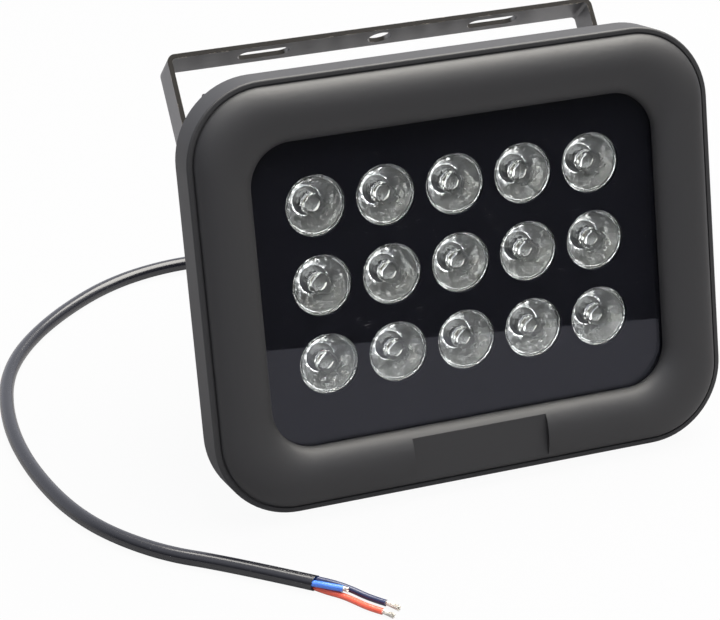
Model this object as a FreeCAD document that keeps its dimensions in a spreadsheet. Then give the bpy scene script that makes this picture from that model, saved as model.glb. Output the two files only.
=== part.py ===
import FreeCAD
import Part
import math
import os
import Sketcher

# Infrared illuminator: a lamp of fifteen emitters in a sealed, finned housing on a swinging bracket.
# Lamp frame: X to the right seen from the front, Y up, Z out of the window towards the viewer.
# Its origin is at mid-height and mid-width of the bezel, on the plane where the glass gasket seats.
# The whole lamp is then leaned back until skirt and fins rest on the ground, which is Z = 0.

Vector = FreeCAD.Vector
Rotation = FreeCAD.Rotation
Placement = FreeCAD.Placement
X_AXIS = Vector(1, 0, 0)
Y_AXIS = Vector(0, 1, 0)
Z_AXIS = Vector(0, 0, 1)

doc = FreeCAD.newDocument("infrared_illuminator")
sub_parts = []

# Counts, shares and the tolerance for picking edges
LENS_COLUMNS = 5
LENS_ROWS = 3
LENS_BOWL_STEPS = 4
LENS_BOWL_CURVE = 0.75
BULGE_STEPS = 8
SOCKET_SHARE = 0.55
LEG_END_SHARE = 0.49
BEND_SHARE = 0.45
TOLERANCE = 0.01


# Bezel, in millimetres as all lengths here
bezel_width = 177.5  # bezel, width
bezel_height = 141  # bezel, height
bezel_corner = 26  # bezel, outer corner radius
window_corner = 14  # opening over the glass, corner radius
skirt_depth = 12.1  # skirt, from the gasket seat back to its edge
skirt_wall = 2.5  # skirt, wall
ledge_level = 1.6  # ledge round the front, above the gasket seat
ledge_width = 1.6  # ledge round the front, width
groove_width = 0.5  # groove inside the ledge, width
groove_depth = 0.5  # groove inside the ledge, depth
lip_level = 0.6  # edge of the opening, above the gasket seat
bulge_rise = 4.95  # crest of the bulging face, above its feet
front_edge_fillet = 0.7  # fillet of the ledge's outer edge
back_edge_fillet = 0.5  # fillet of the skirt's back edge
recess_width = 47  # flat recess below the window, width
recess_level = 4.0  # flat recess, above the gasket seat
channel_outer_inset = 4.6  # coring channel, outer side from the outline
channel_inner_inset = 11.4  # coring channel, inner side from the outline
channel_level = 2.2  # coring channel, top above the gasket seat

# Glass, gasket and lens plate
gasket_thickness = 0.4  # glass gasket, thickness
gasket_cover = 0.6  # glass gasket, held back from the opening
glass_overlap = 5  # glass behind the bezel, each side
glass_thickness = 2  # glass, thickness
glass_chamfer = 0.3  # glass, chamfer of its edges
glass_clearance = 0.25  # glass to its pocket, each side
plate_gap = 0.2  # lens plate behind the glass
plate_thickness = 1.2  # lens plate, thickness
lens_seat = 0.8  # lens rim behind the plate, beyond the round opening

# Lenses and emitters
lens_margin_across = 9.6  # lens field, inside the window at each side
lens_margin_up = 10.985  # lens field, inside the window above and below
lens_space = 2.06  # lens flange to its nearest neighbour
lens_rise = 1.7  # lens field above the bezel's middle
lens_flange = 1.0  # lens, flange thickness
lens_lip = 0.6  # lens, flange beyond the bowl under it
lens_foot = 10.4  # lens, diameter at the foot
lens_height = 11.4  # lens, height
lens_cavity = 8.6  # lens, diameter of the cavity at the foot
lens_cavity_depth = 6.2  # lens, depth of the cavity at its side
lens_cavity_crown = 1.3  # lens, crown of the cavity's ceiling
lens_gap = 0.1  # lens to plate and to board
emitter_side = 5  # emitter base, side
emitter_base = 1.2  # emitter base, thickness
emitter_dome = 3  # emitter dome, diameter
board_thickness = 1.6  # emitter board, thickness
board_clearance = 0.3  # emitter board to the housing wall

# Housing
flange_clearance = 0.3  # housing flange to the skirt, each side
flange_thickness = 4  # housing flange, thickness
seal_thickness = 1.6  # housing seal, thickness
seal_width = 2.4  # housing seal, width
rim_margin = 0.3  # housing rim, inside the lens plate's edge
seal_margin = 0.5  # housing seal, outside the glass pocket
seal_gap_across = 0.15  # housing seal to the screw bosses at the sides
seal_gap_up = 0.65  # housing seal to the screw bosses above and below
housing_inset_across = 19.25  # housing body, inside the bezel's outline at each side
housing_inset_up = 14.5  # housing body, inside the bezel's outline above and below
housing_corner = 17  # housing body, corner radius
housing_wall = 3  # housing, wall at the board
housing_draft = 1.5  # housing, draft in degrees
body_depth = 60  # housing body, from the gasket seat to its back
back_rim_fillet = 2.5  # fillet round the back of the housing body
back_wall = 4  # housing, back wall
board_ledge = 2.5  # ledge that carries the emitter board
fin_count = 13  # cooling fins, number
fin_margin = 9.5  # outermost cooling fins, inside the sides of the housing body
fin_thickness = 2.4  # cooling fins, thickness
fin_inset = 0.7  # cooling fins, inside the top and bottom of the housing body
fin_length = 16  # cooling fins, length behind the body
fin_corner = 4  # cooling fins, corner radius

# Pivots and bracket
pivot_depth = 26  # pivot axis behind the gasket seat
pivot_boss = 14  # pivot boss, diameter
pivot_boss_inside = 6  # pivot boss, length inside the housing
pivot_gap = 0.1  # bracket leg to the pivot boss
leg_offset = 6.5  # bracket leg's outer face, outside the side of the housing body
crossbar_margin = 8.7  # crossbar's outer face, beyond the bezel's edge when in line with it
strap_width = 13.5  # bracket strap, width
strap_thickness = 1.6  # bracket strap, thickness
strap_bend = 1.2  # bracket strap, inner bend radius
bracket_swing = 29.7  # bracket, swung back at rest, degrees
slot_offset = 41.2  # crossbar slots, centre from the middle
slot_length = 18.2  # crossbar slots, length over all
slot_width = 6.5  # crossbar slots, width
crossbar_hole = 8.2  # crossbar hole, diameter
pivot_bolt = 6  # pivot bolt, diameter
pivot_bolt_length = 14  # pivot bolt, length under its head
pivot_head = 10  # pivot bolt head, diameter
pivot_head_height = 5  # pivot bolt head, height
pivot_socket = 5  # pivot bolt socket, across flats
running_gap = 0.1  # running clearance on the pivot bolt, radius
thread_gap = 0.05  # screw thread to its hole, radius
washer_diameter = 12  # pivot washer, diameter
washer_thickness = 1.2  # pivot washer, thickness
spring_diameter = 10.6  # spring washer, diameter
spring_thickness = 1.6  # spring washer, thickness
spring_split = 0.8  # spring washer, split

# Screws
screw_inset = 8  # bezel screws, from the bezel outline
screw_boss = 7.4  # bezel screw boss, diameter
screw_diameter = 3.5  # bezel screw, diameter
screw_length = 9  # bezel screw, length under its head
screw_hole = 4.1  # bezel screw, hole in the flange
screw_head = 6.2  # bezel screw head, diameter
screw_head_height = 2.2  # bezel screw head, height
screw_across = 50  # upper and lower bezel screws, from the middle across
screw_socket = 3  # bezel screw, socket across flats
pilot_spare = 0.6  # blind screw holes, deeper than their screws
small_screw = 3  # inner screws, diameter
small_screw_length = 6  # inner screws, length under the head
small_head = 5.4  # inner screws, head diameter
small_head_height = 1.8  # inner screws, head height
small_hole = 3.4  # inner screws, hole in the boards
small_socket = 2.5  # inner screws, socket across flats
small_boss = 7  # inner screw bosses, diameter
board_boss_spare = 3  # board screw bosses, longer than their screws
board_screw_side = 10  # board screws, inside the sides of the housing body
board_screw_top = 9.5  # board screws, inside the top and bottom of the housing body

# Driver
driver_width = 62  # driver board, width
driver_height = 40  # driver board, height
driver_rise = 18  # driver board, above the middle
driver_standoff = 6  # driver board, above the back wall
driver_screw_inset = 4  # driver screws, from the board's edges
driver_part_inset = 15.5  # coil and capacitor, middle inside the driver board's sides
coil_diameter = 14  # driver coil, diameter
coil_height = 8  # driver coil, height
coil_core = 6  # driver coil, hole in the winding
capacitor_diameter = 8  # driver capacitor, diameter
capacitor_height = 12  # driver capacitor, height

# Cable gland and cable
gland_drop = 28  # cable gland, below the middle
gland_boss = 20  # gland boss, diameter
gland_boss_height = 4  # gland boss, height
gland_well = 30  # space cut out of the fins for a spanner, diameter
gland_thread = 12  # gland thread, diameter
gland_thread_length = 9  # gland thread, length
gland_flats = 15  # gland hexagons, across flats
gland_hex_height = 4.5  # gland body hexagon, height
gland_neck = 11.4  # gland neck, diameter
gland_neck_length = 8  # gland neck, length
gland_bore = 7.4  # gland, bore through the body
gland_seal_diameter = 9  # gland seal, diameter
gland_seal_length = 6  # gland seal, length
gland_nut_gap = 0.4  # gland nut to the body's hexagon
gland_dome = 14.4  # gland nut, diameter behind its hexagon
gland_dome_draft = 18  # gland nut, slope of its dome in degrees
gland_nut_length = 12  # gland nut, length
gland_nut_hex = 7  # gland nut, length of its hexagon
gland_nut_mouth = 6.4  # gland nut, mouth diameter
ring_diameter = 15  # gland washer, diameter
ring_thickness = 1.2  # gland washer, thickness
cable_diameter = 5  # supply cable, diameter
core_diameter = 2.1  # insulated cores, diameter
strand_diameter = 1.3  # bare strand ends, diameter
cable_inside = 20  # supply cable, length inside the gland's mouth
cable_straight = 20  # supply cable, straight length outside the gland's mouth
lead_diameter = 1.4  # inner leads, diameter


class Size:
    """A size with its number and the sheet expression that gives it."""

    def __init__(self, number, text):
        self.number = number
        self.text = text

    @classmethod
    def of(cls, value):
        return value if isinstance(value, Size) else Size(float(value), repr(value))

    def __add__(self, other):
        other = Size.of(other)
        return Size(self.number + other.number, f"({self.text} + {other.text})")

    def __sub__(self, other):
        other = Size.of(other)
        return Size(self.number - other.number, f"({self.text} - {other.text})")

    def __mul__(self, other):
        other = Size.of(other)
        return Size(self.number * other.number, f"({self.text} * {other.text})")

    def __truediv__(self, other):
        other = Size.of(other)
        return Size(self.number / other.number, f"({self.text} / {other.text})")

    def __radd__(self, other):
        return Size.of(other) + self

    def __rsub__(self, other):
        return Size.of(other) - self

    def __rmul__(self, other):
        return Size.of(other) * self

    def __neg__(self):
        return Size(-self.number, f"(-{self.text})")

    def or_less(self, other):
        """Give the smaller of two sizes."""
        return Size(min(self.number, other.number), f"min({self.text}; {other.text})")


# Each size above becomes a cell of the sheet, and a Size that features are tied to
sheet = doc.addObject("Spreadsheet::Sheet", "Sizes")
drivers = [name for name in list(globals()) if name.islower() and type(globals()[name]) in (int, float)]
for row, name in enumerate(drivers, 1):
    sheet.set(f"A{row}", name.replace("_", " "))
    sheet.set(f"B{row}", str(globals()[name]))
    sheet.setAlias(f"B{row}", name)
    globals()[name] = Size(float(globals()[name]), f"Sizes.{name}")

# Widths and heights that follow from the bezel's and from what must fit between them
seal_room = glass_overlap + glass_clearance + seal_margin + seal_width
border_across = screw_inset + screw_boss / 2 + seal_gap_across + seal_room
border_up = screw_inset + screw_boss / 2 + seal_gap_up + seal_room
window_width = bezel_width - 2 * border_across
window_height = bezel_height - 2 * border_up
lens_pitch_across = (window_width - 2 * lens_margin_across) / LENS_COLUMNS
lens_pitch_up = (window_height - 2 * lens_margin_up) / LENS_ROWS
lens_diameter = lens_pitch_across.or_less(lens_pitch_up) - lens_space
lens_bowl = lens_diameter - 2 * lens_lip
lens_window = lens_diameter - 2 * lens_seat
housing_width = bezel_width - 2 * housing_inset_across
housing_height = bezel_height - 2 * housing_inset_up
fin_pitch = (housing_width - 2 * fin_margin) / (fin_count - 1)
fin_span = housing_height - 2 * fin_inset
board_screw_across = housing_width / 2 - board_screw_side
board_screw_up = housing_height / 2 - board_screw_top
bracket_width = housing_width + 2 * leg_offset
bracket_reach = bezel_height / 2 + crossbar_margin

# Levels along the lamp's axis
glass_front = -gasket_thickness
glass_back = glass_front - glass_thickness
plate_front = glass_back - plate_gap
plate_back = plate_front - plate_thickness
lens_front = plate_back - lens_gap
lens_back = lens_front - lens_height
board_front = lens_back - lens_gap
board_back = board_front - board_thickness
shelf_level = glass_back
flange_front = shelf_level - seal_thickness
flange_back = flange_front - flange_thickness
cavity_floor = -(body_depth - back_wall)
fin_tip = -(body_depth + fin_length)
gland_seat = -(body_depth + gland_boss_height)
leg_inner = bracket_width / 2 - strap_thickness
boss_face = leg_inner - pivot_gap
groove_level = ledge_level - groove_depth
groove_inset = ledge_width + groove_width

# Screw sizes in the order that make_screw takes them
BEZEL_SCREW = (screw_diameter, screw_length, screw_head, screw_head_height, screw_socket)
SMALL_SCREW = (small_screw, small_screw_length, small_head, small_head_height, small_socket)
PIVOT_SCREW = (pivot_bolt, pivot_bolt_length, pivot_head, pivot_head_height, pivot_socket)


def bind(thing, prop, size):
    """Tie a property to the sheet."""
    thing.setExpression(prop, Size.of(size).text)


def new_body(name):
    """Start a PartDesign body that is one sub-part."""
    body = doc.addObject("PartDesign::Body", name)
    body.Label = name
    sub_parts.append(body)
    return body


def new_sketch(body, plane, name, level=0):
    """Add a sketch on one of the body's own origin planes, moved along its normal."""
    sketch = body.newObject("Sketcher::SketchObject", f"{body.Name}_{name}")
    support = [f for f in body.Origin.OriginFeatures if f.Role == plane][0]
    sketch.AttachmentSupport = [(support, "")]
    sketch.MapMode = "FlatFace"
    if isinstance(level, Size):
        bind(sketch, "AttachmentOffset.Base.z", level)
    return sketch


def constrain(sketch, kind, *args):
    """Add a constraint. A last argument that is a Size becomes its bound value."""
    size = args[-1] if isinstance(args[-1], Size) else None
    if size is None:
        return sketch.addConstraint(Sketcher.Constraint(kind, *args))
    index = sketch.addConstraint(Sketcher.Constraint(kind, *args[:-1], size.number))
    sketch.setExpression(f"Constraints[{index}]", size.text)
    return index


def draw_rounded_rectangle(sketch, width, height, radius):
    """Draw a rounded rectangle about the sketch's origin: four lines and four arcs."""
    half_w = width.number / 2
    half_h = height.number / 2
    r = radius.number
    arcs = []
    for turn, (sx, sy) in enumerate([(1, 1), (-1, 1), (-1, -1), (1, -1)]):
        circle = Part.Circle(Vector(sx * (half_w - r), sy * (half_h - r), 0), Z_AXIS, r)
        start = turn * math.pi / 2
        arcs.append(sketch.addGeometry(Part.ArcOfCircle(circle, start, start + math.pi / 2)))
    lines = []
    for turn in range(4):
        begin = sketch.Geometry[arcs[turn]].EndPoint
        end = sketch.Geometry[arcs[(turn + 1) % 4]].StartPoint
        lines.append(sketch.addGeometry(Part.LineSegment(begin, end)))
    for turn in range(4):
        constrain(sketch, "Tangent", arcs[turn], 2, lines[turn], 1)
        constrain(sketch, "Tangent", lines[turn], 2, arcs[(turn + 1) % 4], 1)
    constrain(sketch, "Horizontal", lines[0])
    constrain(sketch, "Vertical", lines[1])
    constrain(sketch, "Horizontal", lines[2])
    constrain(sketch, "Vertical", lines[3])
    for arc in arcs[1:]:
        constrain(sketch, "Equal", arcs[0], arc)
    constrain(sketch, "Symmetric", arcs[0], 3, arcs[2], 3, -1, 1)
    constrain(sketch, "Radius", arcs[0], radius)
    constrain(sketch, "DistanceX", lines[1], 1, lines[3], 1, width)
    constrain(sketch, "DistanceY", lines[2], 1, lines[0], 1, height)


def draw_circle(sketch, x, y, diameter):
    """Draw a circle whose centre is tied to the sketch's origin."""
    x = Size.of(x)
    y = Size.of(y)
    circle = sketch.addGeometry(Part.Circle(Vector(x.number, y.number, 0), Z_AXIS, diameter.number / 2))
    constrain(sketch, "Diameter", circle, diameter)
    place_point(sketch, circle, 3, x, y)
    return circle


def place_point(sketch, geometry, point, x, y):
    """Tie a point to the sketch's axes by signed distances."""
    for kind, place, axis in (("DistanceX", x, -2), ("DistanceY", y, -1)):
        if place.number == 0:
            constrain(sketch, "PointOnObject", geometry, point, axis)
        else:
            constrain(sketch, kind, -1, 1, geometry, point, place)


def draw_outline(sketch, corners):
    """Draw a closed outline of straight lines through points given as pairs of sizes."""
    points = [(Size.of(x), Size.of(y)) for x, y in corners]
    lines = []
    for begin, end in zip(points, points[1:] + points[:1]):
        first = Vector(begin[0].number, begin[1].number, 0)
        last = Vector(end[0].number, end[1].number, 0)
        lines.append(sketch.addGeometry(Part.LineSegment(first, last)))
    for index, line in enumerate(lines):
        constrain(sketch, "Coincident", line, 2, lines[(index + 1) % len(lines)], 1)
    for line, (x, y) in zip(lines, points):
        place_point(sketch, line, 1, x, y)
    return lines


def add_slab(body, name, low, high, draw):
    """Pad a drawing in the XY plane from one level up to another."""
    sketch = new_sketch(body, "XY_Plane", name, Size.of(low))
    draw(sketch)
    pad = body.newObject("PartDesign::Pad", f"{body.Name}_{name}_pad")
    pad.Profile = sketch
    bind(pad, "Length", Size.of(high) - low)
    return pad


def add_slab_down(body, name, high, low, draw, draft):
    """Pad a drawing in the XY plane from one level down to another, with draft."""
    sketch = new_sketch(body, "XY_Plane", name, Size.of(high))
    draw(sketch)
    pad = body.newObject("PartDesign::Pad", f"{body.Name}_{name}_pad")
    pad.Profile = sketch
    pad.Reversed = True
    bind(pad, "Length", Size.of(high) - low)
    bind(pad, "TaperAngle", -draft)
    return pad


def cut_slab(body, name, low, high, draw):
    """Cut a drawing in the XY plane out of the body between two levels."""
    sketch = new_sketch(body, "XY_Plane", name, Size.of(high))
    draw(sketch)
    pocket = body.newObject("PartDesign::Pocket", f"{body.Name}_{name}_pocket")
    pocket.Profile = sketch
    bind(pocket, "Length", Size.of(high) - low)
    return pocket


def revolve(body, name, corners):
    """Turn a closed outline in the XZ plane, points as radius and level, about the Z axis."""
    sketch = new_sketch(body, "XZ_Plane", name)
    draw_outline(sketch, corners)
    turned = body.newObject("PartDesign::Revolution", f"{body.Name}_{name}_turned")
    turned.Profile = sketch
    turned.ReferenceAxis = (sketch, ["V_Axis"])
    turned.Angle = 360
    return turned


def dress_edges(body, name, kind, prop, size, wanted):
    """Fillet or chamfer the edges of the body's tip that pass a test."""
    doc.recompute()
    tip = body.Tip
    names = [f"Edge{i}" for i, edge in enumerate(tip.Shape.Edges, 1) if wanted(edge)]
    dressed = body.newObject(kind, f"{body.Name}_{name}")
    dressed.Base = (tip, names)
    bind(dressed, prop, size)
    return dressed


def round_edges(body, name, radius, wanted):
    """Fillet the edges that pass a test."""
    return dress_edges(body, name, "PartDesign::Fillet", "Radius", radius, wanted)


def lies_at(edge, level):
    """Tell whether an edge lies in the plane at a level."""
    box = edge.BoundBox
    return abs(box.ZMin - level) < TOLERANCE and abs(box.ZMax - level) < TOLERANCE


def outline(width, height, corner, growth):
    """Draw a rounded rectangle moved outwards, or inwards where the growth is negative."""
    growth = Size.of(growth)
    return lambda sketch: draw_rounded_rectangle(
        sketch, width + 2 * growth, height + 2 * growth, corner + growth)


def bezel_outline(inset):
    """Draw the bezel's outline moved inwards."""
    return outline(bezel_width, bezel_height, bezel_corner, -Size.of(inset))


def window_outline(growth):
    """Draw the window's outline moved outwards."""
    return outline(window_width, window_height, window_corner, growth)


def housing_outline(inset):
    """Draw the outline of the housing body moved inwards."""
    return outline(housing_width, housing_height, housing_corner, -Size.of(inset))


def ring(outer, inner):
    """Draw two outlines, one inside the other."""
    def draw(sketch):
        outer(sketch)
        inner(sketch)
    return draw


def circles(places, diameter):
    """Draw equal circles at the places."""
    def draw(sketch):
        for x, y in places:
            draw_circle(sketch, x, y, diameter)
    return draw


def bezel_screw_places():
    """Give the six bezel screws: two above, two below and one at each side."""
    up = bezel_height / 2 - screw_inset
    across = bezel_width / 2 - screw_inset
    corners = [(screw_across * sx, up * sy) for sx in (-1, 1) for sy in (-1, 1)]
    return corners + [(across * sx, Size.of(0)) for sx in (-1, 1)]


def board_screw_places():
    """Give the four screws of the emitter board."""
    return [(board_screw_across * sx, board_screw_up * sy) for sx in (-1, 1) for sy in (-1, 1)]


def driver_screw_places():
    """Give the four screws of the driver board."""
    across = driver_width / 2 - driver_screw_inset
    up = driver_height / 2 - driver_screw_inset
    return [(across * sx, driver_rise + up * sy) for sx in (-1, 1) for sy in (-1, 1)]


def make_front_bezel():
    """Model the moulded bezel: skirt, ledge, bulging face, window, coring and screw bosses."""
    body = new_body("front_bezel")
    add_slab(body, "block", -skirt_depth, ledge_level, bezel_outline(0))
    round_edges(body, "front_edge", front_edge_fillet, lambda e: lies_at(e, ledge_level.number))
    cut_slab(body, "groove", groove_level, ledge_level, bezel_outline(ledge_width))
    sections = []
    for step in range(BULGE_STEPS + 1):
        angle = math.pi * step / BULGE_STEPS
        share = (1 - math.cos(angle)) / 2
        width = (bezel_width - 2 * groove_inset) * (1 - share) + window_width * share
        height = (bezel_height - 2 * groove_inset) * (1 - share) + window_height * share
        radius = (bezel_corner - groove_inset) * (1 - share) + window_corner * share
        level = groove_level * (1 - share) + lip_level * share + bulge_rise * math.sin(angle)
        sketch = new_sketch(body, "XY_Plane", f"bulge_{step}", level)
        draw_rounded_rectangle(sketch, width, height, radius)
        sections.append(sketch)
    loft = body.newObject("PartDesign::AdditiveLoft", "front_bezel_bulge")
    loft.Profile = sections[0]
    loft.Sections = sections[1:]
    loft.Ruled = False
    cut_slab(body, "window", -skirt_depth, bulge_rise + ledge_level, window_outline(0))
    cut_slab(body, "hollow", -skirt_depth, shelf_level, bezel_outline(skirt_wall))
    cut_slab(body, "glass_pocket", shelf_level, Size.of(0), window_outline(glass_overlap + glass_clearance))
    channel = ring(bezel_outline(channel_outer_inset), bezel_outline(channel_inner_inset))
    cut_slab(body, "channel", shelf_level, channel_level, channel)
    places = bezel_screw_places()
    add_slab(body, "bosses", flange_front, channel_level, circles(places, screw_boss))
    pilot = screw_diameter + 2 * thread_gap
    pilot_end = flange_back + screw_length + pilot_spare
    cut_slab(body, "pilot_holes", flange_front, pilot_end, circles(places, pilot))

    def draw_recess(sketch):
        half = recess_width / 2
        top = -window_height / 2
        bottom = -(bezel_height / 2 - groove_inset)
        draw_outline(sketch, [(-half, bottom), (half, bottom), (half, top), (-half, top)])

    cut_slab(body, "recess", recess_level, bulge_rise + ledge_level, draw_recess)
    half = bezel_width.number / 2 - TOLERANCE
    half_up = bezel_height.number / 2 - TOLERANCE

    def on_back_rim(edge):
        box = edge.BoundBox
        outside = max(box.XMax, -box.XMin) > half or abs(edge.CenterOfMass.y) > half_up
        return lies_at(edge, -skirt_depth.number) and outside

    round_edges(body, "back_edge", back_edge_fillet, on_back_rim)
    return body


def make_window_pieces():
    """Model the glass, its gasket and the lens plate behind it."""
    gasket = new_body("glass_gasket")
    frame = ring(window_outline(glass_overlap), window_outline(gasket_cover))
    add_slab(gasket, "frame", glass_front, Size.of(0), frame)

    glass = new_body("front_glass")
    add_slab(glass, "pane", glass_back, glass_front, window_outline(glass_overlap))
    dress_edges(glass, "chamfer", "PartDesign::Chamfer", "Size", glass_chamfer,
                lambda e: lies_at(e, glass_front.number) or lies_at(e, glass_back.number))

    plate = new_body("lens_plate")
    add_slab(plate, "sheet", plate_back, plate_front, window_outline(glass_overlap))
    cut_slab(plate, "openings", plate_back, plate_front, circles(lens_places(), lens_window))


def lens_places():
    """Give the middle of each lens, row by row from the top left."""
    places = []
    for row in range(LENS_ROWS):
        for column in range(LENS_COLUMNS):
            across = lens_pitch_across * (column - (LENS_COLUMNS - 1) / 2)
            up = lens_rise + lens_pitch_up * ((LENS_ROWS - 1) / 2 - row)
            places.append((across, up))
    return places


def make_lens(index, x, y):
    """Model one collimator: flange, bowl that reflects inside, and a cavity over the emitter."""
    lens = new_body(f"lens_{index:02d}")
    under = lens_front - lens_flange
    bowl = []
    for step in range(LENS_BOWL_STEPS + 1):
        share = 1 - step / LENS_BOWL_STEPS
        radius = lens_foot / 2 + (lens_bowl - lens_foot) / 2 * share ** LENS_BOWL_CURVE
        bowl.append((radius, lens_back + (under - lens_back) * share))
    roof = lens_back + lens_cavity_depth
    edge = [(Size.of(0), lens_front), (lens_diameter / 2, lens_front), (lens_diameter / 2, under)]
    cavity = [(lens_cavity / 2, lens_back), (lens_cavity / 2, roof), (Size.of(0), roof - lens_cavity_crown)]
    revolve(lens, "profile", edge + bowl + cavity)
    return lens, Placement(Vector(x.number, y.number, 0), Rotation())


def cylinder(name, diameter, height):
    """Make a round bar along Z from its own origin."""
    bar = doc.addObject("Part::Cylinder", name)
    bind(bar, "Radius", diameter / 2)
    bind(bar, "Height", height)
    return bar


def raised(thing, level):
    """Move a primitive along Z by a size."""
    bind(thing, "Placement.Base.z", level)
    return thing


def united(name, pieces):
    """Join primitives into one solid."""
    joined = doc.addObject("Part::MultiFuse", name)
    joined.Shapes = pieces
    return joined


def subtracted(name, base, tool):
    """Cut one shape out of another."""
    cut = doc.addObject("Part::Cut", name)
    cut.Base = base
    cut.Tool = tool
    return cut


def group(name, pieces):
    """Gather separate equal solids as one sub-part."""
    compound = doc.addObject("Part::Compound", name)
    compound.Label = name
    compound.Links = pieces
    sub_parts.append(compound)
    return compound


def make_emitter(index, x, y):
    """Model one emitter: square base and clear dome."""
    name = f"led_{index:02d}"
    base = doc.addObject("Part::Box", f"{name}_base")
    bind(base, "Length", emitter_side)
    bind(base, "Width", emitter_side)
    bind(base, "Height", emitter_base)
    bind(base, "Placement.Base.x", -emitter_side / 2)
    bind(base, "Placement.Base.y", -emitter_side / 2)
    dome = doc.addObject("Part::Sphere", f"{name}_dome")
    bind(dome, "Radius", emitter_dome / 2)
    dome.Angle1 = 0
    raised(dome, emitter_base)
    emitter = united(name, [base, dome])
    emitter.Label = name
    sub_parts.append(emitter)
    return emitter, Placement(Vector(x.number, y.number, board_front.number), Rotation())


def make_screw(name, diameter, length, head_diameter, head_height, socket_flats):
    """Model a socket screw: its head sits on Z = 0 and its shank points down."""
    shank = raised(cylinder(f"{name}_shank", diameter, length), -length)
    head = cylinder(f"{name}_head", head_diameter, head_height)
    socket = doc.addObject("Part::Prism", f"{name}_socket")
    socket.Polygon = 6
    bind(socket, "Circumradius", socket_flats / math.sqrt(3))
    bind(socket, "Height", head_height)
    raised(socket, head_height * (1 - SOCKET_SHARE))
    return subtracted(name, united(f"{name}_blank", [shank, head]), socket)


def make_screws(name, places, level, turned, sizes):
    """Model a set of equal screws whose heads sit at a level."""
    screws = []
    for index, (x, y) in enumerate(places, 1):
        screw = make_screw(f"{name}_{index}", *sizes)
        flip = Rotation(X_AXIS, 180 if turned else 0)
        screw.Placement = Placement(Vector(x.number, y.number, level.number), flip)
        screws.append(screw)
    return group(name, screws)


def make_board():
    """Model the metal-backed board that carries the emitters, and its screws."""
    board = new_body("led_board")
    add_slab(board, "sheet", board_back, board_front, housing_outline(housing_wall + board_clearance))
    cut_slab(board, "holes", board_back, board_front, circles(board_screw_places(), small_hole))
    make_screws("board_screws", board_screw_places(), board_front, False, SMALL_SCREW)


def make_seal():
    """Model the seal between the housing flange and the bezel."""
    seal = new_body("housing_seal")
    inner = glass_overlap + glass_clearance + seal_margin
    frame = ring(window_outline(inner + seal_width), window_outline(inner))
    add_slab(seal, "frame", flange_front, shelf_level, frame)


def make_rear_housing():
    """Model the die-cast housing: flange, body, fins, bosses and cavity."""
    body = new_body("rear_housing")
    add_slab(body, "flange", flange_back, flange_front, bezel_outline(skirt_wall + flange_clearance))
    add_slab_down(body, "shell", flange_front, -body_depth, housing_outline(0), housing_draft)
    round_edges(body, "back_rim", back_rim_fillet, lambda e: lies_at(e, -body_depth.number))
    add_slab(body, "rim", flange_front, plate_back, window_outline(glass_overlap - rim_margin))

    fin_sketch = new_sketch(body, "YZ_Plane", "fin", -(fin_count - 1) / 2 * fin_pitch)
    half = fin_span / 2
    root = -(body_depth - back_wall / 2)
    draw_outline(fin_sketch, [(-half, fin_tip), (half, fin_tip), (half, root), (-half, root)])
    fin = body.newObject("PartDesign::Pad", "rear_housing_fin_pad")
    fin.Profile = fin_sketch
    fin.Midplane = True
    bind(fin, "Length", fin_thickness)
    fins = body.newObject("PartDesign::LinearPattern", "rear_housing_fins")
    fins.Originals = [fin]
    fins.Direction = (fin_sketch, ["N_Axis"])
    bind(fins, "Length", (fin_count - 1) * fin_pitch)
    bind(fins, "Occurrences", fin_count)
    body.Tip = fins
    tip_level = fin_tip.number

    def on_fin_corner(edge):
        box = edge.BoundBox
        return lies_at(edge, tip_level) and box.YLength < TOLERANCE and box.XLength > TOLERANCE

    round_edges(body, "fin_corners", fin_corner, on_fin_corner)

    gland_place = [(Size.of(0), -gland_drop)]
    cut_slab(body, "gland_well", fin_tip, -body_depth, circles(gland_place, gland_well))
    add_slab(body, "gland_boss", gland_seat, cavity_floor, circles(gland_place, gland_boss))
    cut_slab(body, "front_cavity", board_back, plate_back, housing_outline(housing_wall))
    cut_slab(body, "back_cavity", cavity_floor, board_back, housing_outline(housing_wall + board_ledge))
    thread_hole = gland_thread + 2 * thread_gap
    cut_slab(body, "gland_thread", gland_seat, cavity_floor, circles(gland_place, thread_hole))

    pilot = small_screw + 2 * thread_gap
    places = board_screw_places()
    boss_end = board_back - small_screw_length - board_boss_spare
    pilot_end = board_back - small_screw_length
    add_slab(body, "board_bosses", boss_end, board_back, circles(places, small_boss))
    cut_slab(body, "board_pilots", pilot_end, board_back, circles(places, pilot))
    places = driver_screw_places()
    standoff_top = cavity_floor + driver_standoff
    pilot_end = standoff_top - small_screw_length
    add_slab(body, "standoffs", cavity_floor, standoff_top, circles(places, small_boss))
    cut_slab(body, "driver_pilots", pilot_end, standoff_top, circles(places, pilot))
    cut_slab(body, "flange_holes", flange_back, flange_front, circles(bezel_screw_places(), screw_hole))

    boss_length = boss_face - (housing_width / 2 - housing_wall - board_ledge) + pivot_boss_inside
    stack = washer_thickness + spring_thickness + strap_thickness
    hole_depth = pivot_bolt_length - stack + pilot_spare
    for side, word in ((-1, "left"), (1, "right")):
        sketch = new_sketch(body, "YZ_Plane", f"boss_{word}", boss_face * side)
        draw_circle(sketch, 0, -pivot_depth, pivot_boss)
        boss = body.newObject("PartDesign::Pad", f"rear_housing_boss_{word}_pad")
        boss.Profile = sketch
        boss.Reversed = side > 0
        bind(boss, "Length", boss_length)
    for side, word in ((-1, "left"), (1, "right")):
        sketch = new_sketch(body, "YZ_Plane", f"thread_{word}", boss_face * side)
        draw_circle(sketch, 0, -pivot_depth, pivot_bolt + 2 * thread_gap)
        hole = body.newObject("PartDesign::Pocket", f"rear_housing_thread_{word}_pocket")
        hole.Profile = sketch
        hole.Reversed = side < 0
        bind(hole, "Length", hole_depth)
    return body


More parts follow.
